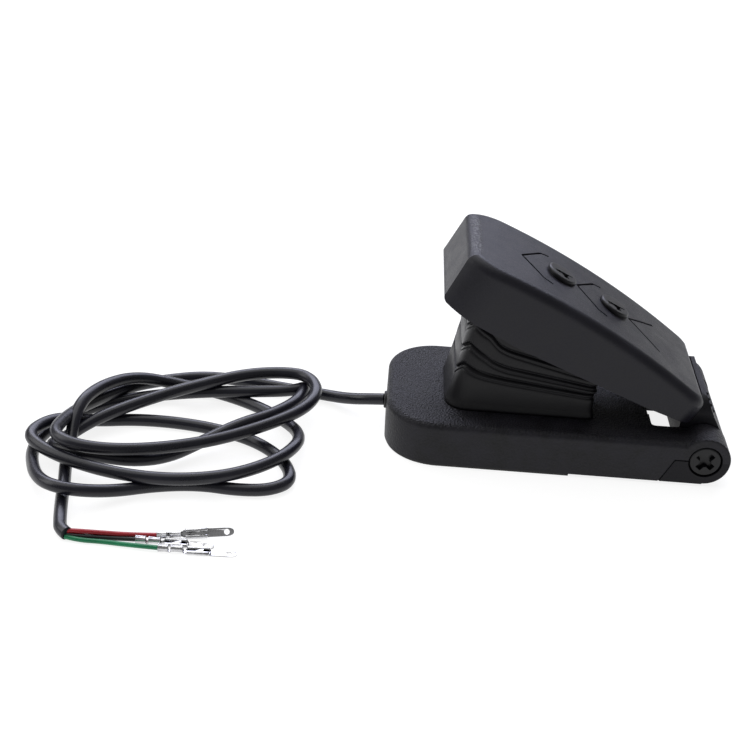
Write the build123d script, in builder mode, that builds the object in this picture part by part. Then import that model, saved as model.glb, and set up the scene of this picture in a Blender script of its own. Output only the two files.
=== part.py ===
from build123d import *
import os
from math import cos, radians, sin, sqrt, tan

# Foot speed pedal: a hollow base that stands on the floor, a treadle that hinges at its heel end, a
# rubber bellows and a return spring between the two, and a three-wire lead that leaves the toe end.
# Millimetres. X runs from the toe (-X, where the lead leaves) to the hinge (+X), Z is up, and the
# origin is under the middle of the base.

# Base
BASE_LENGTH = 155.0
BASE_WIDTH = 80.0
TOE_RADIUS = 23.8
PAD = 1.4  # thickness of the anti-slip pads that the base stands on
BASE_TOP = 21.5
WALL = 2.4
EDGE_ROUND = 3.0
PLATE_TOP = PAD + 2.0  # inside face of the bottom cover
FORK_X = 42.5  # the base ends here between its two hinge arms
FORK_HALF = 25.2  # half the room between the hinge arms
POCKET_X = 17.0  # the shallow pocket in the top, in front of the fork
POCKET_HALF = 15.0
POCKET_FLOOR = BASE_TOP - 1.6

# Hinge
HINGE_X = 66.1
HINGE_Z = 12.8
KNUCKLE_R = 11.4
BARREL_R = 11.0
BARREL_HALF = 24.8
SHAFT_R = 4.5
SHAFT_HALF = 36.4
HEAD_R = 7.2
HEAD_SEAT_R = 7.7
HEAD_SEAT_DEPTH = 3.4
BUSH_R = 6.5
BUSH_LENGTH = 12.0
RUNNING_GAP = 0.05

# Treadle at rest: its top is a shallow arch on a plane that rises from the heel edge to the toe
TILT = 29.0
HEEL_X = 63.95
HEEL_Z = 37.3
TOP_LENGTH = 126.4
CROWN = 5.0
TREAD_HALF = 32.4
TREAD_TOE_R = 23.8
FULL_TOE_S = 132.0  # where the toe would end without its flat face
TREAD_WALL = 2.6
TREAD_HEEL_S = -1.7  # the heel wall leans out this far at its foot
TREAD_HEEL_R = 9.0
TREAD_ROUND = 4.6  # between the top and the sides
HOLLOW_HEEL_S = 2.2
HOLLOW_TOE_S = 121.8
GROOVE_WIDTH = 1.2
GROOVE_DEPTH = 0.9
TRAY_TOP = -3.4  # the carrier plate under the tread, measured from the rest plane
TRAY_BOTTOM = -6.0
SCREWS_S = (51.5, 80.5)  # the two tread screws, along the top from the heel edge
CHEVRONS_S = (42.6, 71.9, 100.9)

# Return spring and bellows
SPRING_X = -20.0
SPRING_R = 10.0
SPRING_WIRE = 1.8
SPRING_TURNS = 7
SPRING_BOTTOM = BASE_TOP + 0.1
SPRING_TOP = 66.0
BELLOWS_WALL = 1.5
BELLOWS_CHAMFER = 9.0

# Magnet, sensor and their board, in the chamber behind the fork wall
MAGNET_X = 37.5
MAGNET_Z = 14.8
MAGNET_R = 1.6
BLADE_HALF = 1.8
BLADE_Y = -20.0
BOARD_Y = BLADE_Y + 5.4

# Lead: a round sheath with three wires in it
CORD_R = 2.8
WIRE_R = 1.0
EXIT_Z = 10.4
GLAND_R = 4.6
GLAND_FACE_X = -BASE_LENGTH / 2 - 1.2
INNER_LENGTH = 26.0  # sheath inside the base, from the gland's face
CLAMP_X = -60.0

toe_x = -BASE_LENGTH / 2
heel_x = BASE_LENGTH / 2
half_width = BASE_WIDTH / 2
top_dir = Vector(-cos(radians(TILT)), 0, sin(radians(TILT)))
top_normal = Vector(sin(radians(TILT)), 0, cos(radians(TILT)))
heel_edge = Vector(HEEL_X, 0, HEEL_Z)


def on_top(s, h):
    """The point s along the treadle's top from its heel edge, h above its rest plane."""
    return heel_edge + top_dir * s + top_normal * h


def top_plane(s=0.0, h=0.0):
    """A plane parallel to the treadle's top: its x runs to the toe and its z is the top's normal."""
    return Plane(on_top(s, h), x_dir=top_dir, z_dir=top_normal)


def side_plane():
    """The treadle's middle plane: its x runs along the top to the toe and its y is the top's normal."""
    return Plane(heel_edge, x_dir=top_dir, z_dir=top_dir.cross(top_normal))


def crown(s):
    """Height of the arched top at s."""
    t = s / TOP_LENGTH
    return CROWN * 4 * t * (1 - t)


def base_outline(inset, end_x):
    """Plan of the base up to end_x, with round toe corners, drawn inset from its sides."""
    x0, y0, r = toe_x + inset, half_width - inset, TOE_RADIUS - inset
    with BuildSketch() as plan:
        with BuildLine():
            Line((end_x, -y0), (x0 + r, -y0))
            RadiusArc((x0 + r, -y0), (x0, -y0 + r), r)
            Line((x0, -y0 + r), (x0, y0 - r))
            RadiusArc((x0, y0 - r), (x0 + r, y0), r)
            Line((x0 + r, y0), (end_x, y0))
            Line((end_x, y0), (end_x, -y0))
        make_face()
    return plan.sketch_local


def cross_recess(plane, size, depth):
    """The solid to cut for a Phillips recess, down from plane."""
    with BuildPart() as recess:
        with BuildSketch(plane):
            Rectangle(size, size * 0.31)
            Rectangle(size * 0.31, size)
            Circle(size * 0.28)
        extrude(amount=-depth, taper=12)
    return recess.part


def corner_radii(points):
    """Arc radii for a route: as large as the two runs at each corner allow."""
    radii = []
    for a, b, c in zip(points, points[1:], points[2:]):
        before, after = Vector(*b) - Vector(*a), Vector(*c) - Vector(*b)
        half_turn = radians(before.get_angle(after) / 2)
        radii.append(0.45 * min(before.length, after.length) / tan(half_turn))
    return radii


def tube(points, radius):
    """A round tube along straight runs joined by tangent arcs."""
    radii = corner_radii(points)
    print("corner radii", [round(r, 1) for r in radii])
    with BuildPart() as run:
        with BuildLine() as path:
            FilletPolyline(*points, radius=radii)
        with BuildSketch(Plane(path.line @ 0, z_dir=path.line % 0)):
            Circle(radius)
        sweep(path=path.line)
    return run.part


# ---------------------------------------------------------------- base
# The whole outside of the base, cut below into housing and bottom cover
SEAM = [(46.6, 0), (46.6, PAD), (52.4, HINGE_Z), (heel_x + 1, HINGE_Z), (heel_x + 1, 0)]
SEAM_WIDTH = 0.7
SEAM_DEPTH = 0.5

with BuildPart() as knuckle_rod:
    with BuildSketch(Plane.XZ):
        with Locations((HINGE_X, HINGE_Z)):
            Circle(KNUCKLE_R)
    extrude(amount=half_width, both=True)
    fillet(knuckle_rod.edges().filter_by(GeomType.CIRCLE), 0.8)

with BuildPart() as blank:
    with BuildSketch(Plane.XY.offset(PAD)):
        add(base_outline(0, HINGE_X))
    extrude(amount=BASE_TOP - PAD)
    fillet(blank.edges().group_by(Axis.Z)[-1].filter_by(lambda e: e.center().X < HINGE_X - 1), EDGE_ROUND)
    add(knuckle_rod.part)
    with BuildSketch(Plane.XY):
        with Locations(((FORK_X + heel_x + 5) / 2, 0)):
            RectangleRounded(heel_x + 5 - FORK_X, 2 * FORK_HALF, 2.0)
    extrude(amount=2 * BASE_TOP, mode=Mode.SUBTRACT)

with BuildPart() as seam_groove:
    with BuildSketch(Plane.XZ):
        with BuildLine():
            Polyline(*SEAM[:3], (HINGE_X, HINGE_Z))
        trace(line_width=SEAM_WIDTH)
    extrude(amount=half_width + 1, both=True)
    with Locations((HINGE_X, 0, HINGE_Z)):
        Box(BASE_WIDTH, BASE_WIDTH - 2 * SEAM_DEPTH, BASE_WIDTH, mode=Mode.SUBTRACT)

BOSSES = [(-58, -27), (-58, 27), (10, -32.5), (10, 32.5), (36, -32.5), (36, 32.5)]
SCREW_R = 1.5

with BuildPart() as base_housing:
    add(blank.part)
    # seam to the bottom cover: the lower halves of the hinge knuckles and the inset plate belong to it
    with BuildSketch(Plane.XZ):
        with BuildLine():
            Polyline(*SEAM, close=True)
        make_face()
    extrude(amount=BASE_WIDTH, both=True, mode=Mode.SUBTRACT)
    with BuildSketch(Plane.XY.offset(PAD)):
        add(base_outline(WALL, 60))
        with Locations((50, 0)):
            Rectangle(2 * (50 - FORK_X + WALL), 2 * (FORK_HALF + WALL), mode=Mode.SUBTRACT)
    extrude(amount=PLATE_TOP - PAD, mode=Mode.SUBTRACT)
    # toe chamber and magnet chamber
    with BuildSketch(Plane.XY.offset(PLATE_TOP)):
        add(base_outline(WALL, POCKET_X - WALL))
    extrude(amount=BASE_TOP - WALL - PLATE_TOP, mode=Mode.SUBTRACT)
    with BuildSketch(Plane.XY.offset(PLATE_TOP)):
        with Locations(((POCKET_X + FORK_X - WALL) / 2, 0)):
            Rectangle(FORK_X - WALL - POCKET_X, 44)
    extrude(amount=POCKET_FLOOR - WALL - PLATE_TOP, mode=Mode.SUBTRACT)
    # pocket in the top, slot for the magnet blade, passage for the wires, hole for the cord gland
    with BuildSketch(Plane.XY.offset(POCKET_FLOOR)):
        with Locations(((POCKET_X + FORK_X + 2) / 2, 0)):
            Rectangle(FORK_X + 2 - POCKET_X, 2 * POCKET_HALF)
    extrude(amount=BASE_TOP, mode=Mode.SUBTRACT)
    with Locations((FORK_X - WALL / 2, BLADE_Y, (PLATE_TOP + 17.5) / 2)):
        Box(3 * WALL, 2 * BLADE_HALF + 2, 17.5 - PLATE_TOP, mode=Mode.SUBTRACT)
    with Locations((POCKET_X - WALL / 2, -9, 8)):
        Box(2 * WALL, 12, 5, mode=Mode.SUBTRACT)
    with BuildSketch(Plane.YZ.offset(toe_x + WALL + 1)):
        with Locations((0, EXIT_Z)):
            Circle(GLAND_R - 0.9)
    extrude(amount=-WALL - 2, mode=Mode.SUBTRACT)
    # screw bosses, cord saddle, sensor board posts
    with BuildSketch(Plane.XY.offset(PLATE_TOP)):
        with Locations(*BOSSES[:4]):
            Circle(4)
    extrude(amount=BASE_TOP - WALL - PLATE_TOP)
    with BuildSketch(Plane.XY.offset(PLATE_TOP)):
        with Locations(*BOSSES):
            Circle(SCREW_R)
    extrude(amount=10, mode=Mode.SUBTRACT)
    with Locations((CLAMP_X, 0, (EXIT_Z + CORD_R + BASE_TOP - WALL) / 2)):
        Box(7, 22, BASE_TOP - WALL - EXIT_Z - CORD_R)
    # shaft bores and screw seats through both knuckles
    with BuildSketch(Plane.XZ):
        with Locations((HINGE_X, HINGE_Z)):
            Circle(SHAFT_R)
    extrude(amount=BASE_WIDTH, both=True, mode=Mode.SUBTRACT)
    for side in (-1, 1):
        with BuildSketch(Plane.XZ.offset(-side * half_width)):
            with Locations((HINGE_X, HINGE_Z)):
                Circle(HEAD_SEAT_R)
        extrude(amount=side * HEAD_SEAT_DEPTH, mode=Mode.SUBTRACT)
    # cup that locates the foot of the return spring
    with BuildSketch(Plane.XY.offset(BASE_TOP)):
        with Locations((SPRING_X, 0)):
            Circle(SPRING_R + 3.5)
            Circle(SPRING_R + 1.5, mode=Mode.SUBTRACT)
    extrude(amount=4)
    add(seam_groove.part, mode=Mode.SUBTRACT)

with BuildPart() as bottom_cover:
    add(blank.part)
    with BuildSketch(Plane.XZ):
        with BuildLine():
            Polyline(*SEAM, close=True)
        make_face()
    extrude(amount=BASE_WIDTH, both=True, mode=Mode.INTERSECT)
    with BuildSketch(Plane.XY.offset(PAD)):
        add(base_outline(WALL + 0.1, 56))
        with Locations((50, 0)):
            Rectangle(2 * (50 - FORK_X + WALL + 0.1), 2 * (FORK_HALF + WALL + 0.1), mode=Mode.SUBTRACT)
    extrude(amount=PLATE_TOP - PAD)
    with BuildSketch(Plane.XZ):
        with Locations((HINGE_X, HINGE_Z)):
            Circle(SHAFT_R)
    extrude(amount=BASE_WIDTH, both=True, mode=Mode.SUBTRACT)
    for side in (-1, 1):
        with BuildSketch(Plane.XZ.offset(-side * half_width)):
            with Locations((HINGE_X, HINGE_Z)):
                Circle(HEAD_SEAT_R)
        extrude(amount=side * HEAD_SEAT_DEPTH, mode=Mode.SUBTRACT)
    with BuildSketch(Plane.XY.offset(PAD)):
        with Locations(*BOSSES):
            Circle(3.0)
    extrude(amount=1.5, taper=44, mode=Mode.SUBTRACT)
    with BuildSketch(Plane.XY.offset(PAD)):
        with Locations(*BOSSES):
            Circle(SCREW_R)
    extrude(amount=5, mode=Mode.SUBTRACT)
    add(seam_groove.part, mode=Mode.SUBTRACT)

with BuildPart() as cover_screws:
    with BuildSketch(Plane.XY.offset(PAD)):
        with Locations(*BOSSES):
            Circle(3.0)
    extrude(amount=1.5, taper=44)
    with BuildSketch(Plane.XY.offset(PAD)):
        with Locations(*BOSSES):
            Circle(SCREW_R)
    extrude(amount=11)

with BuildPart() as toe_pad:
    with BuildSketch():
        add(base_outline(0.5, 6))
    extrude(amount=PAD)
    fillet(toe_pad.edges().group_by(Axis.Z)[0], 0.4)

with BuildPart() as heel_pad:
    with BuildSketch():
        with Locations((28, 0)):
            RectangleRounded(22, 2 * FORK_HALF - 6, 3)
    extrude(amount=PAD)

# ---------------------------------------------------------------- hinge
with BuildPart() as hinge_shaft:
    with BuildSketch(Plane.XZ):
        with Locations((HINGE_X, HINGE_Z)):
            Circle(SHAFT_R)
    extrude(amount=SHAFT_HALF, both=True)
    for side in (-1, 1):
        with BuildSketch(Plane.XZ.offset(-side * SHAFT_HALF)):
            with Locations((HINGE_X, HINGE_Z)):
                Circle(2.5)
        extrude(amount=side * 12, mode=Mode.SUBTRACT)


def hinge_screw(side):
    """A pan-head screw in the outside of one knuckle, threaded into the end of the shaft."""
    seat = half_width - HEAD_SEAT_DEPTH + 0.1
    with BuildPart() as screw:
        with BuildSketch(Plane.XZ.offset(-side * seat)):
            with Locations((HINGE_X, HINGE_Z)):
                Circle(HEAD_R)
        extrude(amount=-side * 3.0)
        rim = screw.edges().sort_by(Axis.Y)[-1 if side > 0 else 0]
        fillet(rim, 1.0)
        with BuildSketch(Plane.XZ.offset(-side * seat)):
            with Locations((HINGE_X, HINGE_Z)):
                Circle(2.5)
        extrude(amount=side * 11)
        face = Vector(HINGE_X, side * (seat + 3.0), HINGE_Z)
        slots = Plane(face, x_dir=(cos(0.86), 0, sin(0.86)), z_dir=(0, side, 0))
        add(cross_recess(slots, 9.4, 2.4), mode=Mode.SUBTRACT)
    return screw


hinge_screw_near = hinge_screw(-1)
hinge_screw_far = hinge_screw(1)

with BuildPart() as barrel_bushes:
    for side in (-1, 1):
        with BuildSketch(Plane.XZ.offset(-side * (BARREL_HALF - BUSH_LENGTH))):
            with Locations((HINGE_X, HINGE_Z)):
                Circle(BUSH_R)
                Circle(SHAFT_R + RUNNING_GAP, mode=Mode.SUBTRACT)
        extrude(amount=-side * BUSH_LENGTH)

# ---------------------------------------------------------------- treadle
# Side view of the tread's lower edge, toe to heel, with a round corner at each end
TOE_CORNER = [(125.3, -21.6), (124.6, -23.9), (122.4, -24.6)]
BOTTOM_EDGE = [(107.6, -24.5), (84.6, -23.3), (49.6, -19.2), (20.6, -15.6)]
HEEL_CORNER = [(2.6, -12.5), (-0.6, -11.5), (-1.3, -8.8)]

# Plan of the tread: two round corners that the flat toe face cuts off, and the hollow inside them
corner_s = FULL_TOE_S - TREAD_TOE_R
corner_y = TREAD_HALF - TREAD_TOE_R
heel_y = TREAD_HALF - TREAD_HEEL_R
inner_half = TREAD_HALF - TREAD_WALL
inner_heel_r = TREAD_HEEL_R - TREAD_WALL
inner_r = TREAD_TOE_R - TREAD_WALL
toe_half = corner_y + sqrt(inner_r**2 - (HOLLOW_TOE_S - corner_s) ** 2)

with BuildPart() as pedal_cover:
    with BuildSketch(top_plane(h=-40)):
        with BuildLine():
            Line((TREAD_HEEL_S + TREAD_HEEL_R, TREAD_HALF), (corner_s, TREAD_HALF))
            RadiusArc((corner_s, TREAD_HALF), (FULL_TOE_S, corner_y), TREAD_TOE_R)
            Line((FULL_TOE_S, corner_y), (FULL_TOE_S, -corner_y))
            RadiusArc((FULL_TOE_S, -corner_y), (corner_s, -TREAD_HALF), TREAD_TOE_R)
            Line((corner_s, -TREAD_HALF), (TREAD_HEEL_S + TREAD_HEEL_R, -TREAD_HALF))
            RadiusArc((TREAD_HEEL_S + TREAD_HEEL_R, -TREAD_HALF), (TREAD_HEEL_S, -heel_y), TREAD_HEEL_R)
            Line((TREAD_HEEL_S, -heel_y), (TREAD_HEEL_S, heel_y))
            RadiusArc((TREAD_HEEL_S, heel_y), (TREAD_HEEL_S + TREAD_HEEL_R, TREAD_HALF), TREAD_HEEL_R)
        make_face()
    extrude(amount=60)
    with BuildSketch(side_plane()):
        with BuildLine():
            ThreePointArc((0, 0), (TOP_LENGTH / 2, CROWN), (TOP_LENGTH, 0))
            Line((TOP_LENGTH, 0), TOE_CORNER[0])
            ThreePointArc(*TOE_CORNER)
            Polyline(TOE_CORNER[-1], *BOTTOM_EDGE, HEEL_CORNER[0])
            ThreePointArc(*HEEL_CORNER)
            Line(HEEL_CORNER[-1], (0, 0))
        make_face()
    extrude(amount=60, both=True, mode=Mode.INTERSECT)
    rim = pedal_cover.faces().sort_by(lambda f: (f.center() - heel_edge).dot(top_normal))[-1].edges()
    fillet(rim, TREAD_ROUND)
    # hollow underneath, and the notch in the heel wall that the arm's neck stands in
    with BuildSketch(top_plane(h=-40)):
        with BuildLine():
            Line((HOLLOW_HEEL_S + inner_heel_r, inner_half), (corner_s, inner_half))
            RadiusArc((corner_s, inner_half), (HOLLOW_TOE_S, toe_half), inner_r)
            Line((HOLLOW_TOE_S, toe_half), (HOLLOW_TOE_S, -toe_half))
            RadiusArc((HOLLOW_TOE_S, -toe_half), (corner_s, -inner_half), inner_r)
            Line((corner_s, -inner_half), (HOLLOW_HEEL_S + inner_heel_r, -inner_half))
            RadiusArc((HOLLOW_HEEL_S + inner_heel_r, -inner_half), (HOLLOW_HEEL_S, inner_heel_r - inner_half),
                      inner_heel_r)
            Line((HOLLOW_HEEL_S, inner_heel_r - inner_half), (HOLLOW_HEEL_S, inner_half - inner_heel_r))
            RadiusArc((HOLLOW_HEEL_S, inner_half - inner_heel_r), (HOLLOW_HEEL_S + inner_heel_r, inner_half),
                      inner_heel_r)
        make_face()
    extrude(amount=40 + TRAY_TOP, mode=Mode.SUBTRACT)
    with BuildSketch(top_plane(h=-40)):
        Rectangle(2 * HOLLOW_HEEL_S + 10, 2 * FORK_HALF)
    extrude(amount=40 + TRAY_TOP, mode=Mode.SUBTRACT)
    # chevron grooves: two angled legs each, the outer two with short hooks parallel to the sides
    with BuildSketch(top_plane(h=-1)):
        for apex in CHEVRONS_S:
            first = apex == CHEVRONS_S[0]
            leg, spread = (16.5, 13.2) if first else (10.4, 13.4)
            hook = [] if first else [(apex - leg - 4.6, spread + 1.6)]
            for side in (-1, 1):
                with BuildLine():
                    Polyline((apex, 0), *[(s, side * y) for s, y in [(apex - leg, spread)] + hook])
                trace(line_width=GROOVE_WIDTH)
    grooves = extrude(amount=20, mode=Mode.PRIVATE)
    with BuildSketch(side_plane()):
        with BuildLine():
            ThreePointArc((0, -GROOVE_DEPTH), (TOP_LENGTH / 2, CROWN - GROOVE_DEPTH),
                          (TOP_LENGTH, -GROOVE_DEPTH))
            Polyline((TOP_LENGTH, -GROOVE_DEPTH), (TOP_LENGTH, 20), (0, 20), (0, -GROOVE_DEPTH))
        make_face()
    skin = extrude(amount=60, both=True, mode=Mode.PRIVATE)
    add(grooves & skin, mode=Mode.SUBTRACT)
    # seats and holes for the two screws
    for s in SCREWS_S:
        with BuildSketch(top_plane(s, crown(s) - 0.25)):
            Circle(7.7)
        extrude(amount=5, mode=Mode.SUBTRACT)
        with BuildSketch(top_plane(s)):
            Circle(2.3)
        extrude(amount=10, both=True, mode=Mode.SUBTRACT)

with BuildPart() as pedal_screws:
    for s in SCREWS_S:
        seat = crown(s) - 0.25
        with BuildSketch(top_plane(s, seat)):
            Circle(7.4)
        extrude(amount=2.2)
        rims = pedal_screws.edges().filter_by(GeomType.CIRCLE)
        near_top = rims.sort_by(lambda e: (e.center() - on_top(s, seat + 2.2)).length)[0]
        fillet(near_top, 0.9)
        with BuildSketch(top_plane(s, seat)):
            Circle(2.0)
        extrude(amount=-13)
        add(cross_recess(top_plane(s, seat + 2.2).rotated((0, 0, 22)), 9.8, 1.8), mode=Mode.SUBTRACT)

NECK_FRONT_X = 55.0
neck_top_s = (HEEL_X + (TRAY_TOP - 0.2) * sin(radians(TILT)) - NECK_FRONT_X) / cos(radians(TILT))
NECK_TOP_Z = 36.4
NECK_CORNER_R = 9.0
RIB_R = 0.8
RIB_HALF = 13.0
RIBS = [(67.3, 33.2), (68.6, 30.4), (70.1, 27.4), (71.8, 24.4)]

with BuildPart() as neck:
    # the hinge barrel and the neck that rises from it, its back tangent to the barrel
    with BuildSketch(Plane.XZ):
        with Locations((HINGE_X, HINGE_Z)):
            Circle(BARREL_R)
        with BuildLine():
            crest = [on_top(neck_top_s, TRAY_TOP - 0.2), on_top(-0.5, TRAY_TOP - 0.2), on_top(-0.5, -1.0)]
            Polyline((NECK_FRONT_X, 11.0), *[(p.X, p.Z) for p in crest], (66.2, 35.6), (69.7, 28.1),
                     (73.6, 21.2), (76.1, 17.7), (HINGE_X, HINGE_Z - BARREL_R), (60.5, 5.0), close=True)
        make_face()
    extrude(amount=BARREL_HALF, both=True)
    # round shoulders, seen from behind
    with BuildSketch(Plane.YZ):
        RectangleRounded(2 * BARREL_HALF, 2 * NECK_TOP_Z, NECK_CORNER_R)
    extrude(amount=BASE_LENGTH, both=True, mode=Mode.INTERSECT)
    with BuildSketch(Plane.XZ):
        with Locations(*RIBS):
            Circle(RIB_R)
    extrude(amount=RIB_HALF, both=True)

with BuildPart() as pedal_arm:
    # carrier plate under the tread
    with BuildSketch(top_plane(h=TRAY_BOTTOM)):
        with BuildLine():
            Polyline((9.5, 28.8), (107, 28.8), (120.5, 15.5), (120.5, -15.5), (107, -28.8), (9.5, -28.8),
                     (2.5, -22.0), (2.5, 22.0), close=True)
        make_face()
    extrude(amount=TRAY_TOP - TRAY_BOTTOM - 0.2)
    add(neck.part)
    # screw bosses up to the tread, bores
    for s in SCREWS_S:
        with BuildSketch(top_plane(s, TRAY_BOTTOM - 3)):
            Circle(4.0)
        extrude(amount=3)
        with BuildSketch(top_plane(s, TRAY_BOTTOM - 6)):
            Circle(2.0)
        extrude(amount=20, mode=Mode.SUBTRACT)
    with BuildSketch(Plane.XZ):
        with Locations((HINGE_X, HINGE_Z)):
            Circle(SHAFT_R + 0.4)
    extrude(amount=BASE_WIDTH, both=True, mode=Mode.SUBTRACT)
    for side in (-1, 1):
        with BuildSketch(Plane.XZ.offset(-side * (BARREL_HALF - BUSH_LENGTH))):
            with Locations((HINGE_X, HINGE_Z)):
                Circle(BUSH_R)
        extrude(amount=-side * (BUSH_LENGTH + 1), mode=Mode.SUBTRACT)

with BuildPart() as spring_seat:
    with BuildSketch(Plane.XY.offset(SPRING_TOP + 0.1)):
        with Locations((SPRING_X, 0)):
            Circle(SPRING_R + 2.5)
    extrude(amount=30)
    with BuildSketch(top_plane(h=TRAY_BOTTOM)):
        with Locations((60, 0)):
            Rectangle(200, 120)
    extrude(amount=-60, mode=Mode.INTERSECT)
    with BuildSketch(Plane.XY.offset(SPRING_TOP + 0.1)):
        with Locations((SPRING_X, 0)):
            Circle(SPRING_R - 2.2)
    extrude(amount=-7)
    with BuildSketch(top_plane(SCREWS_S[1], TRAY_BOTTOM)):
        Circle(4.4)
    extrude(amount=-7, mode=Mode.SUBTRACT)

with BuildPart() as return_spring:
    with BuildLine() as coil_path:
        Helix(
            pitch=(SPRING_TOP - SPRING_BOTTOM - SPRING_WIRE - 0.4) / SPRING_TURNS,
            height=SPRING_TOP - SPRING_BOTTOM - SPRING_WIRE - 0.4,
            radius=SPRING_R,
            center=(SPRING_X, 0, SPRING_BOTTOM + SPRING_WIRE / 2 + 0.2),
        )
    with BuildSketch(Plane(coil_path.line @ 0, z_dir=coil_path.line % 0)):
        Circle(SPRING_WIRE / 2)
    sweep(path=coil_path.line, is_frenet=True)

# ---------------------------------------------------------------- bellows
# Each fold line is given by where its plane meets the toe side and the heel side, and its half width
TRAY_GAP = 0.4


def bellows_rings():
    """Fold lines from the base to the carrier plate: toe x and z, heel x and z, half width."""
    rings = [(-52.4, BASE_TOP + 0.1, 16.0, BASE_TOP + 0.1, 24.4), (-52.4, 32.0, 16.0, 30.6, 24.4)]
    top_toe, top_heel = on_top(116, TRAY_BOTTOM - TRAY_GAP), on_top(58.5, TRAY_BOTTOM - TRAY_GAP)
    folds = 10
    for i in range(1, folds + 1):
        t = i / folds
        inset = 4.0 if i % 2 else 0.8
        toe_x_i = -50.6 + t * (top_toe.X + 50.6)
        toe_z_i = 33.5 + t * (top_toe.Z - 33.5)
        heel_x_i = 15.4 + t * (top_heel.X - 15.4)
        heel_z_i = 31.4 + (0.55 * t + 0.45 * t * t) * (top_heel.Z - 31.4)
        rings.append((toe_x_i + inset, toe_z_i, heel_x_i - inset * 0.5, heel_z_i, 23.4 - inset))
    return rings


def bellows_loft(inset):
    """The folded body as a solid, drawn inset from its outside."""
    with BuildPart() as body:
        for toe_px, toe_pz, heel_px, heel_pz, half in bellows_rings():
            toe_pt, heel_pt = Vector(toe_px, 0, toe_pz), Vector(heel_px, 0, heel_pz)
            along = heel_pt - toe_pt
            ring_plane = Plane((toe_pt + heel_pt) / 2, x_dir=along, z_dir=along.cross(Vector(0, -1, 0)))
            with BuildSketch(ring_plane):
                outline = Rectangle(along.length - 2 * inset, 2 * (half - inset))
                chamfer(outline.vertices(), BELLOWS_CHAMFER)
        loft(ruled=True)
    return body.part


with BuildPart() as bellows:
    add(bellows_loft(0))
    add(bellows_loft(BELLOWS_WALL), mode=Mode.SUBTRACT)

# ---------------------------------------------------------------- sensing
with BuildPart() as magnet_blade:
    with BuildSketch(Plane.XZ.offset(-BLADE_Y)):
        with BuildLine():
            Polyline((NECK_FRONT_X, 12.0), (NECK_FRONT_X, 17.0), (36.4, 17.0), (34.6, 15.2), (34.6, 13.6),
                     (36.4, 12.4), close=True)
        make_face()
    extrude(amount=BLADE_HALF, both=True)
    with BuildSketch(Plane.XZ.offset(-BLADE_Y)):
        with Locations((MAGNET_X, MAGNET_Z)):
            Circle(MAGNET_R)
    extrude(amount=5, both=True, mode=Mode.SUBTRACT)

with BuildPart() as magnet:
    with BuildSketch(Plane.XZ.offset(-BLADE_Y)):
        with Locations((MAGNET_X, MAGNET_Z)):
            Circle(MAGNET_R)
    extrude(amount=BLADE_HALF, both=True)

with BuildPart() as sensor_board:
    with Locations((29.5, BOARD_Y + 0.6, 9.4)):
        Box(19, 1.2, 11)

with BuildPart() as hall_sensor:
    with Locations((MAGNET_X, BOARD_Y - 0.75, 10.4)):
        Box(4.1, 1.5, 3.0)
    for dx in (-1.27, 0, 1.27):
        with Locations((MAGNET_X + dx, BOARD_Y - 0.35, 7.2)):
            Box(0.45, 0.7, 3.4)

with BuildPart() as board_clip:
    with Locations((22.5, BOARD_Y + 3.0, PLATE_TOP + 1.5)):
        Box(5, 8, 3)
    with Locations((22.5, BOARD_Y + 0.6, PLATE_TOP + 2.0)):
        Box(6, 1.2, 3.0, mode=Mode.SUBTRACT)

# ---------------------------------------------------------------- lead inside the base
with BuildPart() as cord_gland:
    with BuildSketch(Plane.YZ.offset(GLAND_FACE_X)):
        with Locations((0, EXIT_Z)):
            Circle(GLAND_R - 0.6)
    extrude(amount=1.2)
    fillet(cord_gland.edges().group_by(Axis.X)[0], 0.5)
    with BuildSketch(Plane.YZ.offset(toe_x)):
        with Locations((0, EXIT_Z)):
            Circle(GLAND_R - 0.9)
    extrude(amount=WALL)
    with BuildSketch(Plane.YZ.offset(toe_x + WALL)):
        with Locations((0, EXIT_Z)):
            Circle(GLAND_R + 1.2)
    extrude(amount=3)
    with BuildSketch(Plane.YZ.offset(GLAND_FACE_X)):
        with Locations((0, EXIT_Z)):
            Circle(CORD_R)
    extrude(amount=20, mode=Mode.SUBTRACT)

with BuildPart() as cord_inner_end:
    with BuildSketch(Plane.YZ.offset(GLAND_FACE_X)):
        with Locations((0, EXIT_Z)):
            Circle(CORD_R)
    extrude(amount=INNER_LENGTH)

with BuildPart() as cord_clamp:
    with Locations((CLAMP_X, 0, EXIT_Z - CORD_R / 2 - 1.5)):
        Box(7, 22, 3 + CORD_R)
    with BuildSketch(Plane.YZ.offset(-70)):
        with Locations((0, EXIT_Z)):
            Circle(CORD_R)
    extrude(amount=20, mode=Mode.SUBTRACT)

with BuildPart() as clamp_screws:
    for y in (-8, 8):
        with BuildSketch(Plane.XY.offset(PLATE_TOP)):
            with Locations((CLAMP_X, y)):
                Circle(2.6)
        extrude(amount=EXIT_Z - CORD_R - 3 - PLATE_TOP)

LEADS = {"red": 1, "black": 0, "green": -1}
with BuildPart() as inner_leads:
    for n in LEADS.values():
        start = (GLAND_FACE_X + INNER_LENGTH, n * 1.4, EXIT_Z)  # the end of the sheath inside the base
        route = [start, (-44, n * 3, 10.2), (-28, n * 2.2 - 5, 8.6), (-10, n * 1.8 - 9, 8.0),
                 (8, n * 1.8 - 9, 8.2), (19.6, BOARD_Y + 0.6 + n * 1.3, 8.6 - n * 0.2)]
        add(tube(route, 0.6))
    add(cord_inner_end.part, mode=Mode.SUBTRACT)

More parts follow.
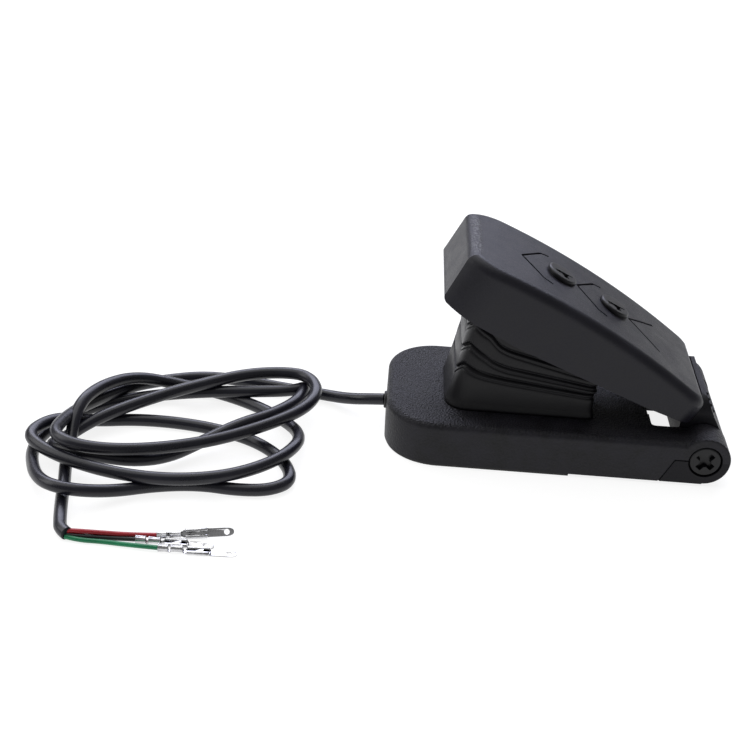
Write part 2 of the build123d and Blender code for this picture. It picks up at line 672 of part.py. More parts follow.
# ---------------------------------------------------------------- free lead
# From the gland down to the floor, round the loose coil, and out of the coil's front to its wires
LEAD_ROUTE = [(GLAND_FACE_X, 0, EXIT_Z), (-85.6, 1.1, 9.4), (-91.6, 3.9, 7.3), (-97.8, 8.0, 5.0),
              (-104.4, 12.0, 3.4), (-111.2, 14.5, 2.8), (-118.2, 15.6, 2.8)]
TAIL_ROUTE = [(-212.6, -80.0, 2.8), (-211.4, -90.0, 2.8), (-209.8, -101.0, 2.8), (-208.3, -110.0, 2.8),
              (-207.0, -115.4, 2.8), (-203.8, -118.4, 2.8)]
COIL_HEIGHT = 18.4
COIL_OUTLINE = [(-110.0, 12.0), (-121.0, 20.5), (-146.0, 26.5), (-170.0, 25.4), (-198.0, 9.0), (-222.0, -27.0),
                (-235.6, -52.0), (-226.5, -79.5), (-204.0, -91.0), (-170.0, -84.5), (-133.0, -77.5),
                (-115.6, -66.0), (-113.2, -36.0), (-108.6, -8.0)]

with BuildPart() as cord_coil:
    with BuildSketch():
        with BuildLine():
            Spline(*COIL_OUTLINE, periodic=True)
        make_face()
    extrude(amount=COIL_HEIGHT)

with BuildPart() as cord_lead:
    add(tube(LEAD_ROUTE, CORD_R))
    for neighbour in (cord_coil, cord_gland, cord_inner_end):
        add(neighbour.part, mode=Mode.SUBTRACT)
with BuildPart() as cord_tail:
    add(tube(TAIL_ROUTE, CORD_R))
    add(cord_coil.part, mode=Mode.SUBTRACT)

# The wires leave the cut end of the sheath and run to their crimped terminals
WIRE_ROUTES = {
    "red": [(-204.4, -117.3, 3.4), (-199.0, -116.6, 2.6), (-190.0, -115.4, 1.8), (-178.0, -114.8, 1.7),
            (-167.0, -113.6, 2.0)],
    "black": [(-205.0, -118.3, 1.3), (-199.2, -119.2, 1.2), (-189.5, -118.0, 1.1), (-180.5, -117.7, 1.4),
              (-172.4, -117.5, 1.9)],
    "green": [(-205.6, -118.9, 3.4), (-199.0, -121.6, 2.4), (-189.5, -121.6, 1.4), (-178.0, -122.8, 1.5),
              (-166.5, -123.2, 1.8)],
}
# each terminal: where its crimp starts, its heading, and how far it has rolled on its axis
TERMINALS = {
    "red": ((-170.5, -114.0, 2.0), 12.5, 55),
    "black": ((-176.0, -117.6, 1.9), 1.0, 15),
    "green": ((-170.0, -123.2, 1.8), 6.0, 5),
}


def wire(colour):
    with BuildPart() as lead:
        add(tube(WIRE_ROUTES[colour], WIRE_R))
        add(cord_tail.part, mode=Mode.SUBTRACT)
    return lead


def terminal(colour):
    """A crimp terminal: two crimp barrels, a folded body and a flat blade with a hole."""
    start, heading, roll = TERMINALS[colour]
    with BuildPart() as piece:
        with BuildSketch(Plane.YZ):
            Circle(1.7)
        extrude(amount=4.0)
        with BuildSketch(Plane.YZ.offset(5.2)):
            Circle(1.5)
        extrude(amount=5.0)
        with BuildSketch(Plane.XY.offset(-1.5)):
            with Locations((7, 0)):
                Rectangle(14, 1.6)
        extrude(amount=0.5)
        with Locations((15.6, 0, -0.45)):
            Box(11.2, 3.4, 2.1)
        with Locations((15.6, 0, -0.35)):
            Box(9.2, 2.4, 3.2, mode=Mode.SUBTRACT)
        with BuildSketch(Plane.XY.offset(-1.5)):
            with Locations((26, 0)):
                SlotOverall(12, 3.6)
            with Locations((29.2, 0)):
                Circle(1.0, mode=Mode.SUBTRACT)
        extrude(amount=0.6)
    place = Location(start, (0, 0, heading)) * Location((0, 0, 0), (roll, 0, 0))
    piece.part = piece.part.moved(place) - pieces[f"wire_{colour}"].part
    return piece


pieces = {
    "base_housing": base_housing,
    "bottom_cover": bottom_cover,
    "cover_screws": cover_screws,
    "toe_pad": toe_pad,
    "heel_pad": heel_pad,
    "hinge_shaft": hinge_shaft,
    "hinge_screw_near": hinge_screw_near,
    "hinge_screw_far": hinge_screw_far,
    "barrel_bushes": barrel_bushes,
    "pedal_cover": pedal_cover,
    "pedal_screws": pedal_screws,
    "pedal_arm": pedal_arm,
    "spring_seat": spring_seat,
    "return_spring": return_spring,
    "bellows": bellows,
    "magnet_blade": magnet_blade,
    "magnet": magnet,
    "sensor_board": sensor_board,
    "hall_sensor": hall_sensor,
    "board_clip": board_clip,
    "cord_gland": cord_gland,
    "cord_inner_end": cord_inner_end,
    "cord_clamp": cord_clamp,
    "clamp_screws": clamp_screws,
    "inner_leads": inner_leads,
    "cord_lead": cord_lead,
    "cord_coil": cord_coil,
    "cord_tail": cord_tail,
}
for colour in LEADS:
    pieces[f"wire_{colour}"] = wire(colour)
    pieces[f"terminal_{colour}"] = terminal(colour)

os.makedirs("parts", exist_ok=True)
for name, piece in pieces.items():
    piece.part.label = name
    export_step(piece.part, f"parts/{name}.step")
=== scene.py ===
from math import cos, pi, radians, sin

import bmesh
import bpy
from mathutils import Matrix, Vector


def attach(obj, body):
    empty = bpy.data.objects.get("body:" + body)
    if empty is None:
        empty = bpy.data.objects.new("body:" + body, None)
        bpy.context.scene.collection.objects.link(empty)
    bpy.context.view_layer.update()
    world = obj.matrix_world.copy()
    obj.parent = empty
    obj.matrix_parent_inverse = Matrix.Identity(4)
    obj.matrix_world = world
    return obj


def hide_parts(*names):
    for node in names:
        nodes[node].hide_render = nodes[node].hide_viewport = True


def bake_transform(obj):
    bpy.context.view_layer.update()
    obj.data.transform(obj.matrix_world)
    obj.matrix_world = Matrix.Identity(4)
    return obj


# Foot speed pedal with a three-wire lead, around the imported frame. +X runs from the toe, where the lead
# leaves, to the hinge at the heel, and +Z is up. Lengths are millimetres, and MM turns them into the
# frame's metres. The floor, the lights and the lead's stated length and diameter are in metres.
MM = 0.001

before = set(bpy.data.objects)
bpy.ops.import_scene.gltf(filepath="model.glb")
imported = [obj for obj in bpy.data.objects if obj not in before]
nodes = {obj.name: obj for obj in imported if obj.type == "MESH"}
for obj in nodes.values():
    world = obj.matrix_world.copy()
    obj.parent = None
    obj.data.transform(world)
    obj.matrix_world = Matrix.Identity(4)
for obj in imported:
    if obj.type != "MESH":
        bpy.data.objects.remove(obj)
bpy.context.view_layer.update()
scene = bpy.context.scene


def link(name, data):
    """A new object in the scene."""
    obj = bpy.data.objects.new(name, data)
    scene.collection.objects.link(obj)
    return obj


# ---------------------------------------------------------------- camera
AZIMUTH, ELEVATION, ROLL = radians(-0.41), radians(28.05), radians(4.59)
CAMERA_AT = Vector((-88.44, -641.10, 364.44)) * MM
LENS, SENSOR_WIDTH = 74.92, 36

back = Vector((sin(AZIMUTH) * cos(ELEVATION), -cos(AZIMUTH) * cos(ELEVATION), sin(ELEVATION)))
level = (-back).cross(Vector((0, 0, 1))).normalized()
upright = level.cross(-back)
camera_x = level * cos(ROLL) + upright * sin(ROLL)
camera_y = upright * cos(ROLL) - level * sin(ROLL)
camera = link("camera", bpy.data.cameras.new("camera"))
camera.data.sensor_width = SENSOR_WIDTH
camera.data.lens = LENS
turned = Matrix((camera_x, camera_y, back)).transposed().to_4x4()
camera.matrix_world = Matrix.Translation(CAMERA_AT) @ turned
scene.camera = camera


# ---------------------------------------------------------------- materials
# How much lighter than its surface a scratch and a worn edge are, and how far in an edge wears; on the
# bellows that lighter edge is a painted highlight along the fold crests
SCRATCH_TIMES, EDGE_WEAR_AND_HIGHLIGHT_TIMES, EDGE_WEAR_AND_HIGHLIGHT_RADIUS = 2.6, 5.0, 0.5
# The scuffed strip on the treadle's top: the slope of that top, where the strip starts and ends along
# it, how wide its fading border is, and its half width without and with the faded ends
TREAD_SLOPE = radians(29.0)
SCUFF_START, SCUFF_END, SCUFF_FADE = 82.6, 88.0, 1.4
SCUFF_HALF, SCUFF_HALF_FADED = 17.0, 22.0
SCUFF_GREY = (0.16, 0.16, 0.17)


def node(tree, kind, inputs=None, **settings):
    """A shader node, its inputs set to values or linked to sockets."""
    new = tree.nodes.new("ShaderNode" + kind)
    for key, value in settings.items():
        setattr(new, key, value)
    for key, value in (inputs or {}).items():
        if isinstance(value, bpy.types.NodeSocket):
            tree.links.new(value, new.inputs[key])
        else:
            new.inputs[key].default_value = value
    return new


def noise(tree, place, size, detail=2.0, stretch=None):
    """Noise whose features are about size millimetres, as a value near 0 to 1."""
    if stretch:
        place = node(tree, "Mapping", {"Vector": place, "Scale": stretch}).outputs[0]
    made = node(tree, "TexNoise", {"Vector": place, "Scale": 1 / (size * MM), "Detail": detail})
    return made.outputs[0]


def ramp(tree, value, low, high, out_low=0.0, out_high=1.0):
    """value taken from low..high to out_low..out_high, and held at the ends."""
    return node(
        tree,
        "MapRange",
        {"Value": value, "From Min": low, "From Max": high, "To Min": out_low, "To Max": out_high},
    ).outputs[0]


def maths(tree, operation, a, b):
    """The result of one operation on two values."""
    return node(tree, "Math", {0: a, 1: b}, operation=operation).outputs[0]


def blend_colours(tree, factor, a, b):
    """Colour a where factor is 0, and colour b where it is 1."""
    made = node(tree, "Mix", {0: factor, 6: a, 7: b}, data_type="RGBA")
    return made.outputs[2]


def rgba(colour, times=1.0):
    """The colour that many times as light, with full opacity."""
    return (*[min(1.0, c * times) for c in colour], 1.0)


def finish(
    name,
    colour,
    rough,
    grain,
    relief,
    patch=9.0,
    tone=0.18,
    edge_wear_and_highlight=0.0,
    top_only=False,
    streaks=None,
    extra=None,
    **shader,
):
    """A moulded or metal surface: grain of that size and relief in millimetres, slow change of tone over
    patches, and lighter edges, which are worn edges on most finishes and a painted highlight along the
    fold crests on the bellows. top_only keeps the strong grain to faces that look up. streaks are
    scratches, as their size, their stretch and how strongly they show. extra is a function that changes
    the tint, the roughness and the height once more."""
    made = bpy.data.materials.new(name)
    made.use_nodes = True
    tree = made.node_tree
    bsdf = tree.nodes["Principled BSDF"]
    place = node(tree, "TexCoord").outputs["Object"]
    geometry = node(tree, "NewGeometry")
    slow = noise(tree, place, patch, 3.0)
    fine = noise(tree, place, grain, 2.0)
    tint = blend_colours(tree, ramp(tree, slow, 0.3, 0.7), rgba(colour, 1 - tone), rgba(colour, 1 + tone))
    tint = blend_colours(tree, ramp(tree, fine, 0.35, 0.75, 0.0, 0.5), tint, rgba(colour, 1 + 2 * tone))
    roughness = ramp(tree, maths(tree, "ADD", slow, fine), 0.7, 1.3, rough * 0.86, rough * 1.14)
    height = fine
    if top_only:
        up = node(tree, "SeparateXYZ", {0: geometry.outputs["Normal"]}).outputs[2]
        height = maths(tree, "MULTIPLY", fine, ramp(tree, up, 0.35, 0.8, 0.25, 1.0))
    if streaks:
        size, stretch, strength = streaks
        lines = ramp(tree, noise(tree, place, size, 4.0, stretch), 0.62, 0.72)
        shown = maths(tree, "MULTIPLY", lines, strength)
        tint = blend_colours(tree, shown, tint, rgba(colour, SCRATCH_TIMES))
        height = maths(tree, "SUBTRACT", height, maths(tree, "MULTIPLY", lines, 0.6))
    if edge_wear_and_highlight:
        # lighter edges: worn edges on most finishes, a painted highlight along the fold crests on the bellows
        soft = node(tree, "Bevel", {"Radius": EDGE_WEAR_AND_HIGHLIGHT_RADIUS * MM}, samples=4).outputs[0]
        flatness = node(
            tree, "VectorMath", {0: soft, 1: geometry.outputs["Normal"]}, operation="DOT_PRODUCT"
        ).outputs["Value"]
        sharp = ramp(tree, flatness, 0.995, 0.93)
        edge = maths(tree, "MULTIPLY", sharp, ramp(tree, slow, 0.4, 0.62, 0.25, 1.0))
        tint = blend_colours(tree, maths(tree, "MULTIPLY", edge, edge_wear_and_highlight), tint, rgba(colour, EDGE_WEAR_AND_HIGHLIGHT_TIMES))
    if extra:
        tint, roughness, height = extra(tree, place, tint, roughness, height)
    bump = node(tree, "Bump", {"Height": height, "Distance": relief * MM, "Strength": 1.0})
    tree.links.new(tint, bsdf.inputs["Base Color"])
    tree.links.new(roughness, bsdf.inputs["Roughness"])
    tree.links.new(bump.outputs[0], bsdf.inputs["Normal"])
    for key, value in shader.items():
        bsdf.inputs[key.replace("_", " ").title().replace("Ior", "IOR")].default_value = value
    return made


def scuffed_toe(tree, place, tint, roughness, height):
    """Rubbed, brighter grain in a short strip on top, beside the treadle's toe edge."""
    axes = node(tree, "SeparateXYZ", {0: place})
    # distance along the top towards the toe, across it, and how far the face looks up
    along = maths(tree, "ADD", maths(tree, "MULTIPLY", axes.outputs[0], -cos(TREAD_SLOPE)),
                  maths(tree, "MULTIPLY", axes.outputs[2], sin(TREAD_SLOPE)))
    across = maths(tree, "ABSOLUTE", axes.outputs[1], 0.0)
    normal = node(tree, "SeparateXYZ", {0: node(tree, "NewGeometry").outputs["Normal"]})
    after_start = ramp(tree, along, SCUFF_START * MM, (SCUFF_START + SCUFF_FADE) * MM)
    before_end = ramp(tree, along, SCUFF_END * MM, (SCUFF_END - SCUFF_FADE) * MM)
    strip = maths(tree, "MULTIPLY", after_start, before_end)
    strip = maths(tree, "MULTIPLY", strip, ramp(tree, across, SCUFF_HALF_FADED * MM, SCUFF_HALF * MM))
    strip = maths(tree, "MULTIPLY", strip, ramp(tree, normal.outputs[2], 0.35, 0.6))
    rubbed = ramp(tree, noise(tree, place, 1.1, 4.0), 0.47, 0.58)
    mask = maths(tree, "MULTIPLY", strip, rubbed)
    tint = blend_colours(tree, maths(tree, "MULTIPLY", mask, 0.6), tint, rgba(SCUFF_GREY))
    height = maths(tree, "ADD", height, maths(tree, "MULTIPLY", mask, 1.5))
    return tint, roughness, height


# Each finish: colour, roughness, size and relief of its grain
materials = {
    "base_plastic": finish("base_plastic", (0.0056, 0.0054, 0.0078), 0.5, 0.9, 0.9, tone=0.8, edge_wear_and_highlight=0.08,
                           top_only=True, specular_ior_level=0.25),
    "cover_plastic": finish("cover_plastic", (0.0052, 0.0050, 0.0072), 0.55, 1.0, 0.1, edge_wear_and_highlight=0.06,
                            specular_ior_level=0.2),
    "pedal_plastic": finish("pedal_plastic", (0.0056, 0.0054, 0.0092), 0.42, 0.7, 0.08, edge_wear_and_highlight=0.1,
                            streaks=(1.2, (0.12, 1.0, 0.12), 0.05), extra=scuffed_toe,
                            specular_ior_level=0.28),
    "arm_plastic": finish("arm_plastic", (0.0050, 0.0048, 0.0070), 0.5, 0.8, 0.08, edge_wear_and_highlight=0.08,
                          specular_ior_level=0.2),
    "bush_plastic": finish("bush_plastic", (0.55, 0.53, 0.47), 0.45, 0.6, 0.02),
    "black_screw": finish("black_screw", (0.004, 0.004, 0.005), 0.36, 0.35, 0.02, edge_wear_and_highlight=0.9,
                          specular_ior_level=0.3),
    "shaft_steel": finish("shaft_steel", (0.5, 0.5, 0.5), 0.28, 0.4, 0.01, metallic=1.0),
    "spring_steel": finish("spring_steel", (0.42, 0.42, 0.43), 0.3, 0.4, 0.01, metallic=1.0),
    # the bellows' lighter edges are a painted highlight along the fold crests, which catch the light from
    # above
    "bellows_rubber": finish("bellows_rubber", (0.0040, 0.0039, 0.0050), 0.42, 0.5, 0.03, tone=0.25,
                             edge_wear_and_highlight=0.7, specular_ior_level=0.25),
    "pad_rubber": finish("pad_rubber", (0.02, 0.02, 0.02), 0.8, 0.6, 0.08),
    "gland_rubber": finish("gland_rubber", (0.013, 0.013, 0.014), 0.5, 0.5, 0.03),
    "magnet_metal": finish("magnet_metal", (0.6, 0.6, 0.62), 0.25, 0.3, 0.01, metallic=1.0),
    "board_laminate": finish("board_laminate", (0.01, 0.09, 0.03), 0.35, 0.4, 0.01),
    "sensor_plastic": finish("sensor_plastic", (0.02, 0.02, 0.02), 0.5, 0.3, 0.02),
    "lead_insulation": finish("lead_insulation", (0.05, 0.05, 0.055), 0.4, 0.4, 0.01),
    "cord_sheath": finish("cord_sheath", (0.0075, 0.0075, 0.0125), 0.3, 0.6, 0.012, patch=14, tone=0.3,
                          specular_ior_level=0.38),
    "wire_red": finish("wire_red", (0.3, 0.004, 0.012), 0.35, 0.4, 0.01),
    "wire_black": finish("wire_black", (0.008, 0.008, 0.009), 0.35, 0.4, 0.01),
    "wire_green": finish("wire_green", (0.0, 0.16, 0.062), 0.35, 0.4, 0.01),
    "terminal_tin": finish("terminal_tin", (0.5, 0.5, 0.51), 0.18, 0.5, 0.05, patch=2.5, tone=0.3,
                           metallic=1.0),
}
NODE_FINISHES = {
    "base_housing": "base_plastic",
    "bottom_cover": "cover_plastic",
    "cover_screws": "black_screw",
    "toe_pad": "pad_rubber",
    "heel_pad": "pad_rubber",
    "hinge_shaft": "shaft_steel",
    "hinge_screw_near": "black_screw",
    "hinge_screw_far": "black_screw",
    "barrel_bushes": "bush_plastic",
    "pedal_cover": "pedal_plastic",
    "pedal_screws": "black_screw",
    "pedal_arm": "arm_plastic",
    "spring_seat": "bush_plastic",
    "magnet_blade": "arm_plastic",
    "magnet": "magnet_metal",
    "sensor_board": "board_laminate",
    "hall_sensor": "sensor_plastic",
    "board_clip": "bush_plastic",
    "cord_gland": "gland_rubber",
    "cord_inner_end": "cord_sheath",
    "cord_clamp": "bush_plastic",
    "clamp_screws": "black_screw",
    "inner_leads": "lead_insulation",
}
for name, slot in NODE_FINISHES.items():
    for holder in nodes[name].material_slots:
        holder.material = materials[slot]


def stand_in(obj, slot, *replaced, body=None):
    """Gives a new piece its finish and the body that it rides on, if it is on one alone, and hides the CAD
    nodes that it stands for. The finish comes before the ride."""
    obj.data.materials.append(materials[slot])
    if body:
        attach(obj, body)
    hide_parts(*replaced)
    return obj


def final_mesh(obj):
    """A mesh of what the object's modifiers, or its curve's thickness, make of it."""
    return bpy.data.meshes.new_from_object(obj.evaluated_get(bpy.context.evaluated_depsgraph_get()))


# ---------------------------------------------------------------- lead
CORD_R, WIRE_R = 2.8, 1.0
# From the gland down to the floor, and out of the coil's front to the wires
LEAD_ROUTE = [(-78.7, 0.0, 10.4), (-85.6, 1.1, 9.4), (-91.6, 3.9, 7.3), (-97.8, 8.0, 5.0),
              (-104.4, 12.0, 3.4), (-111.2, 14.5, 2.8), (-118.2, 15.6, 2.8)]
TAIL_ROUTE = [(-212.6, -80.0, 2.8), (-211.4, -90.0, 2.8), (-209.8, -101.0, 2.8), (-208.3, -110.0, 2.8),
              (-207.0, -115.4, 2.8), (-203.8, -118.4, 2.8)]
# The first strand of the coil climbs as it runs, because later turns lie under it, and the last one
# reaches the tail
FIRST_STRAND = [(-128.9, 17.6, 2.8), (-138.9, 20.0, 2.8), (-149.0, 21.5, 2.8), (-159.0, 22.3, 3.0),
                (-168.8, 20.5, 3.4), (-178.2, 16.6, 3.7), (-187.2, 10.8, 4.5), (-195.7, 3.6, 5.6),
                (-203.4, -5.5, 6.7), (-210.0, -17.6, 8.4), (-216.3, -29.6, 10.1), (-220.3, -46.4, 13.2)]
LAST_STRAND = [(-216.0, -53.1, 2.8), (-214.8, -67.0, 2.8)]
# Loose half turns from one tip of the coil to the next: the tip where each starts, how far it bulges
# from the straight line between its tips (as three harmonics), its skew along that line in percent,
# and its heights
HALF_TURNS = [
    ((-221.3, -61.1), (-30.4, 2.4, -1.8), -2.2, (15.1, 15.1, 13.4, 11.2, 10.1, 11.8, 12.9, 14.0)),
    ((-115.2, 10.6), (-16.9, -1.9, -1.9), 5.9, (14.3, 13.4, 12.6, 11.4, 11.0, 9.5, 7.3, 3.4)),
    ((-225.0, -57.2), (-27.4, -4.6, -4.7), 6.7, (5.6, 9.5, 6.7, 3.9, 5.6, 9.0, 9.0, 9.0)),
    ((-115.6, 9.7), (-26.2, 9.8, 3.7), 2.4, (9.0, 8.2, 7.9, 6.2, 3.4, 2.8, 2.8, 2.8)),
    ((-230.7, -63.5), (-22.2, -10.6, -9.0), 5.2, (3.4, 7.8, 9.5, 5.0, 2.8, 2.8, 2.8, 2.8)),
    ((-116.2, -65.3), (-37.6, -0.1, -1.6), 3.1, (2.8, 2.8, 2.8, 2.8, 2.8, 2.8, 2.9, 9.5)),
    ((-233.7, -53.1), (-38.0, 3.3, 2.8), -1.9, (10.1, 9.5, 9.0, 8.7, 8.7, 8.5, 8.5, 8.5)),
    ((-115.9, -30.8), (-49.8, 1.2, 2.8), -0.3, (6.2, 3.4, 2.8, 2.8, 5.0, 12.3, 15.1, 14.6)),
]


def coil_points():
    """Control points of the coil's turns, from the first tip to the last."""
    tips = [turn[0] for turn in HALF_TURNS] + [LAST_STRAND[0][:2]]
    points = []
    for (a, bulge, skew, heights), b in zip(HALF_TURNS, tips[1:]):
        chord = Vector(b) - Vector(a)
        side = Vector((-chord.y, chord.x)).normalized()
        for i, height in enumerate(heights):
            turn = pi * i / len(heights)
            share = 0.5 - 0.5 * cos(turn) + skew / 100 * sin(2 * turn)
            out = sum(amount * sin((k + 1) * turn) for k, amount in enumerate(bulge))
            spot = Vector(a) + chord * share + side * out
            points.append((spot.x, spot.y, height))
    return points


def flex(name, points, radius, slot, *replaced):
    """A round flexible piece on one smooth NURBS line with these control points."""
    curve = bpy.data.curves.new(name, "CURVE")
    curve.dimensions = "3D"
    curve.resolution_u = 8
    curve.bevel_depth = radius * MM
    curve.bevel_resolution = 5
    curve.use_fill_caps = True
    spline = curve.splines.new("NURBS")
    spline.points.add(len(points) - 1)
    for point, at in zip(spline.points, points):
        point.co = (at[0] * MM, at[1] * MM, at[2] * MM, 1)
    spline.order_u = 3
    spline.use_endpoint_u = True
    spline.use_smooth = True
    return stand_in(link(name, curve), slot, *replaced, body="base")


cord = flex(
    "lead_sheath",
    LEAD_ROUTE + FIRST_STRAND + coil_points() + LAST_STRAND + TAIL_ROUTE,
    CORD_R,
    "cord_sheath",
    "cord_lead",
    "cord_coil",
    "cord_tail",
)

# The wires leave the cut end of the sheath and run to their terminals. Each terminal has its start, and
# its heading and roll in degrees.
WIRE_ROUTES = {
    "red": [(-204.6, -117.3, 3.5), (-199.0, -116.9, 3.4), (-190.0, -116.4, 3.1), (-178.0, -115.8, 2.7),
            (-164.6, -114.3, 2.7)],
    "black": [(-204.8, -118.0, 1.9), (-199.2, -117.9, 1.6), (-189.5, -117.2, 1.3), (-180.5, -117.2, 1.5),
              (-172.4, -117.3, 1.9)],
    "green": [(-204.4, -118.9, 1.6), (-199.0, -120.2, 1.3), (-189.5, -119.9, 1.2), (-178.0, -121.3, 1.5),
              (-162.8, -122.2, 1.8)],
}
TERMINALS = {
    "red": ((-168.0, -114.6, 2.7), 12.5, 55),
    "black": ((-176.0, -117.3, 1.9), 1.0, 15),
    "green": ((-166.3, -121.9, 1.8), 2.0, 5),
}

# Terminal: the height of its floor, how far its edges roll over, where its blade starts, the blade's half
# width, how far it reaches past the hole's middle, its hole, and the sheet's thickness and rounded edge
TERMINAL_FLOOR, EDGE_ROLL, ROLLED_POINTS = -1.45, 0.75, 7
BLADE_X, BLADE_HALF, BLADE_REACH = 21.0, 1.8, 3.0
HOLE_X, HOLE_R, HOLE_POINTS = 28.8, 1.15, 32
SHEET, SHEET_EDGE = 0.32, 0.05


def crimp_section(radius, dip):
    """Section of a closed crimp barrel, as y and z: two wings that curl up and in and meet at the top."""
    points = []
    for i in range(13):
        turn = radians(-90 + 15 * i)
        points.append((radius * cos(turn), radius * sin(turn)))
    points += [(radius * 0.32, radius * (1.0 - dip * 0.2)), (radius * 0.1, radius * (1.0 - dip))]
    return [(-y, z) for y, z in reversed(points[1:])] + points


def flat_section(half, curl=0.0):
    """A strip of as many points on the terminal's floor; with curl its edges roll over by that radius."""
    z = TERMINAL_FLOOR
    count = len(crimp_section(1, 0.4))
    points = []
    rolled = ROLLED_POINTS if curl else 0
    for i in range(count):
        edge = min(i, count - 1 - i)
        side = -1 if i < count / 2 else 1
        if edge < rolled:
            turn = radians(-90 + (rolled - edge) * 34)
            points.append((side * (half - curl + curl * cos(turn)), z + curl + curl * sin(turn)))
        else:
            share = (i - rolled) / (count - 1 - 2 * rolled)
            points.append(((2 * share - 1) * (half - curl), z))
    return points


def blade_edge(turn):
    """The blade's edge at this turn round its hole, as x and y: straight at the body, round at its end."""
    if cos(turn) > 0:
        side = 1 if sin(turn) >= 0 else -1
        return HOLE_X + BLADE_REACH * cos(turn), side * BLADE_HALF * abs(sin(turn)) ** 0.8
    x = BLADE_X if cos(turn) < -0.55 else HOLE_X + 3.2 * cos(turn)
    return x, BLADE_HALF * max(-1, min(1, 1.5 * sin(turn)))


def terminal(colour):
    """A stamped crimp terminal: two crimp barrels, a body with rolled edges and a blade with a hole."""
    start, heading, roll = TERMINALS[colour]
    mesh = bmesh.new()
    stations = [
        # the barrel on the insulation, and the strip behind it
        (0.0, crimp_section(1.6, 0.25)),
        (0.25, crimp_section(1.5, 0.3)),
        (3.6, crimp_section(1.42, 0.42)),
        (3.9, crimp_section(1.5, 0.3)),
        (4.2, flat_section(0.9)),
        (5.0, flat_section(0.9)),
        # the barrel on the strands
        (5.3, crimp_section(1.45, 0.3)),
        (5.6, crimp_section(1.3, 0.55)),
        (7.4, crimp_section(1.22, 0.6)),
        (9.4, crimp_section(1.3, 0.55)),
        (9.8, crimp_section(1.45, 0.3)),
        # the strip that widens into the body
        (10.3, flat_section(1.0)),
        (11.2, flat_section(1.5)),
        (12.0, flat_section(2.1, EDGE_ROLL)),
        (20.4, flat_section(2.1, EDGE_ROLL)),
        (21.2, flat_section(1.8)),
    ]
    rings = [[mesh.verts.new((x, y, z)) for y, z in section] for x, section in stations]
    for low, high in zip(rings, rings[1:]):
        for i in range(len(low) - 1):
            mesh.faces.new((low[i], high[i], high[i + 1], low[i + 1]))
    # the lance that springs up from the middle of the body
    lance = [
        [mesh.verts.new((x, y, z)) for y in (-0.7, 0.7)] for x, z in ((13.2, -1.2), (16.0, -0.5), (18.4, 0.1))
    ]
    for low, high in zip(lance, lance[1:]):
        mesh.faces.new((low[0], high[0], high[1], low[1]))
    # the blade around its hole
    outer, inner = [], []
    for i in range(HOLE_POINTS):
        turn = 2 * pi * i / HOLE_POINTS
        x, y = HOLE_X + HOLE_R * cos(turn), HOLE_R * sin(turn)
        inner.append(mesh.verts.new((x, y, TERMINAL_FLOOR)))
        outer.append(mesh.verts.new((*blade_edge(turn), TERMINAL_FLOOR)))
    for i in range(HOLE_POINTS):
        j = (i + 1) % HOLE_POINTS
        mesh.faces.new((inner[i], outer[i], outer[j], inner[j]))
    data = bpy.data.meshes.new(f"crimp_{colour}")
    mesh.to_mesh(data)
    mesh.free()
    data.shade_smooth()
    obj = link(f"crimp_{colour}", data)
    place = Matrix.Translation(Vector(start) * MM) @ Matrix.Rotation(radians(heading), 4, "Z")
    data.transform(place @ Matrix.Rotation(radians(roll), 4, "X") @ Matrix.Scale(MM, 4))
    sheet = obj.modifiers.new("sheet", "SOLIDIFY")
    sheet.thickness = SHEET * MM
    sheet.offset = 0
    edge = obj.modifiers.new("edge", "BEVEL")
    edge.width = SHEET_EDGE * MM
    edge.segments = 1
    return stand_in(obj, "terminal_tin", f"terminal_{colour}", body="base")


wires = [flex(f"core_{c}", route, WIRE_R, f"wire_{c}", f"wire_{c}") for c, route in WIRE_ROUTES.items()]
terminals = [terminal(colour) for colour in TERMINALS]

# ---------------------------------------------------------------- bellows
# Fold lines from the base up, as heights at the heel end, half way, where the toe corner starts, in the
# middle of that corner, where each fold climbs to a point, and on the toe side
FOLDS = [
    (21.6, 21.6, 21.6, 21.6, 21.6),
    (33.1, 37.4, 39.6, 42.5, 35.5),
    (36.7, 43.0, 47.8, 52.6, 46.5),
    (42.0, 51.6, 58.6, 63.0, 57.0),
    (48.0, 61.5, 69.0, 73.0, 67.5),
    (53.5, 70.8, 78.2, 81.0, 78.0),
    (57.6, 79.2, 85.8, 87.0, 87.6),
]
# The bands between them: toe x at the foot and at the crest, heel x, half width
BANDS = [(-51.0, -48.6, 15.6, 24.3), (-47.8, -46.6, 16.5, 23.8), (-46.2, -45.2, 17.0, 23.6),
         (-44.8, -43.6, 16.0, 23.2), (-43.2, -42.4, 14.0, 22.4), (-42.0, -41.6, 11.5, 21.6)]
FULL_GAP = 6.0  # bands lower than this have smaller folds
# Section through a fold, upwards: distance from the fold line, and how far in from the band's face. A
# narrow lip stands between two creases.
BELOW_FOLD = [(2.6, 0.0), (2.0, 0.2), (1.5, 0.75), (0.9, 0.3), (0.1, 0.35)]
ABOVE_FOLD = [(0.5, 0.8), (0.9, 1.4), (1.4, 0.6), (1.9, 0.1), (2.4, 0.0)]
TOE_R, HEEL_R = 10.5, 3.5
HALF_WAY_X, CORNER_X, HEEL_END_X = -26.0, -39.0, 13.0
WALL = 1.2
# Steps of a band's outline: across half an end, round a heel corner, along a side, round a toe corner
END_STEPS, HEEL_STEPS, SIDE_STEPS, TOE_STEPS = 4, 3, 14, 10


def fold_height(fold, x, share):
    """Height of a fold line at x on the sides, or at share of the way round the toe corner."""
    heel, half_way, corner, apex, toe = fold
    if share is None:
        if x > HALF_WAY_X:
            slope = (half_way - heel) / (HALF_WAY_X - HEEL_END_X)
            return heel + slope * (x - HEEL_END_X)
        t = (x - HALF_WAY_X) / (CORNER_X - HALF_WAY_X)
        return half_way + (corner - half_way) * t
    if share < 0.5:
        return corner + (apex - corner) * share * 2
    return apex + (toe - apex) * (share * 2 - 1)


